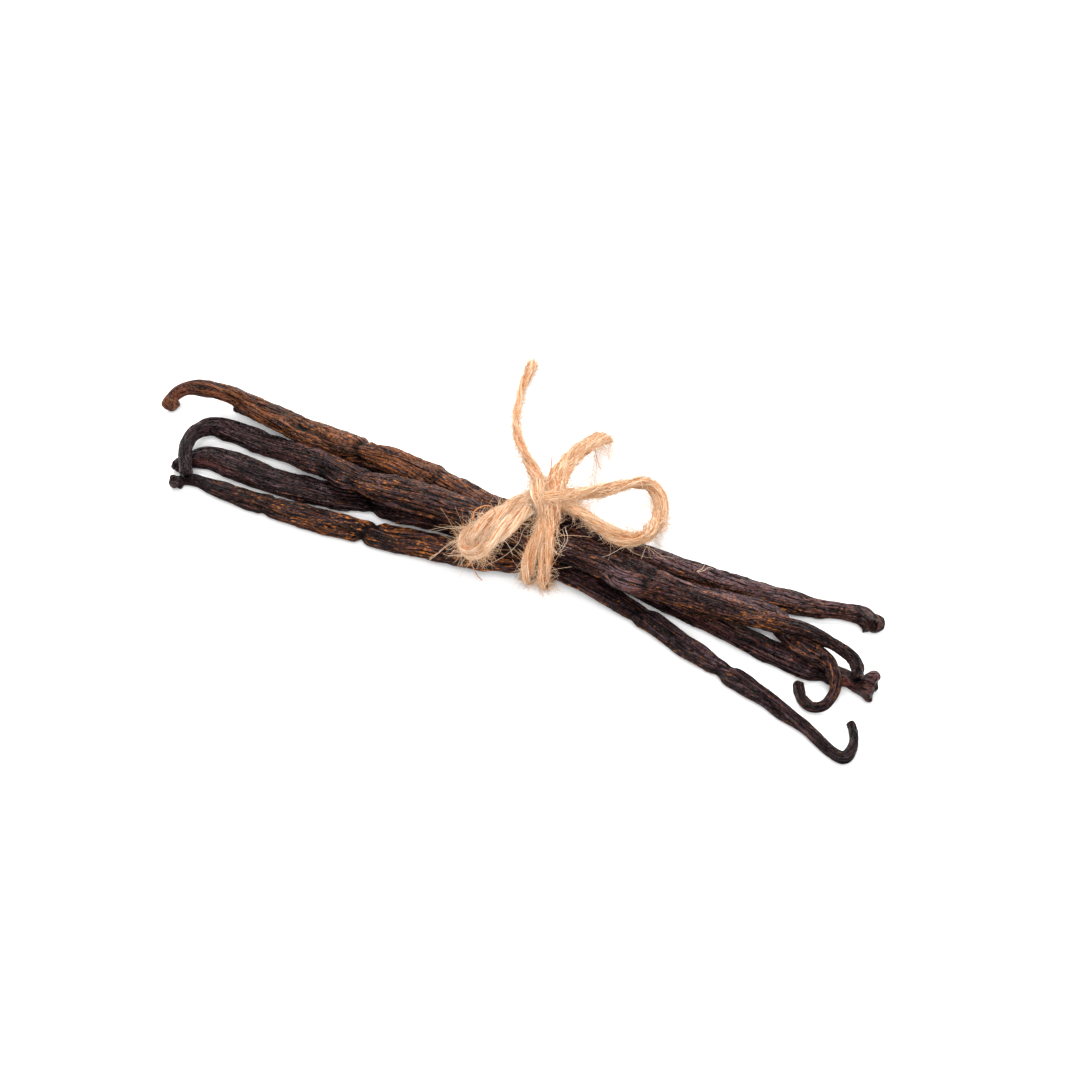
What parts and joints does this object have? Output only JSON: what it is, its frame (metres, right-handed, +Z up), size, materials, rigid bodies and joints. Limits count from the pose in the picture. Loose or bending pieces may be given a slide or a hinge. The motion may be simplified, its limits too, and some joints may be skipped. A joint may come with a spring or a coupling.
{
  "type": "bundle of vanilla pods",
  "caption": "Cured vanilla pods with curled stem ends, gathered at the middle by jute twine that is tied in a bow over the bundle.",
  "frame": {"origin": "on the table under the middle of the tied pods, taken over the pods and the tie without the free twine", "axes": "+X along the pods towards the end where one pod curls back over another, +Y away from the side of the bundle that the left bow loop falls over, +Z up from the table"},
  "size_m": [0.1804, 0.0768, 0.0181],
  "materials": {
    "pod_dark": "oily satin, wrinkled lengthwise",
    "pod_brown": "oily satin, wrinkled lengthwise, with orange-brown flecks",
    "twine": "matte, hairy natural jute"
  },
  "bodies": {
    "root": {"pod_top": "pod_dark", "pod_back": "pod_brown", "pod_curled": "pod_dark", "pod_middle": "pod_dark", "pod_front": "pod_brown", "twine_tie": "twine", "twine_tail_left": "twine", "twine_tail_right": "twine", "twine_loop_right": "twine", "twine_loop_left": "twine"}
  },
  "joints": []
}
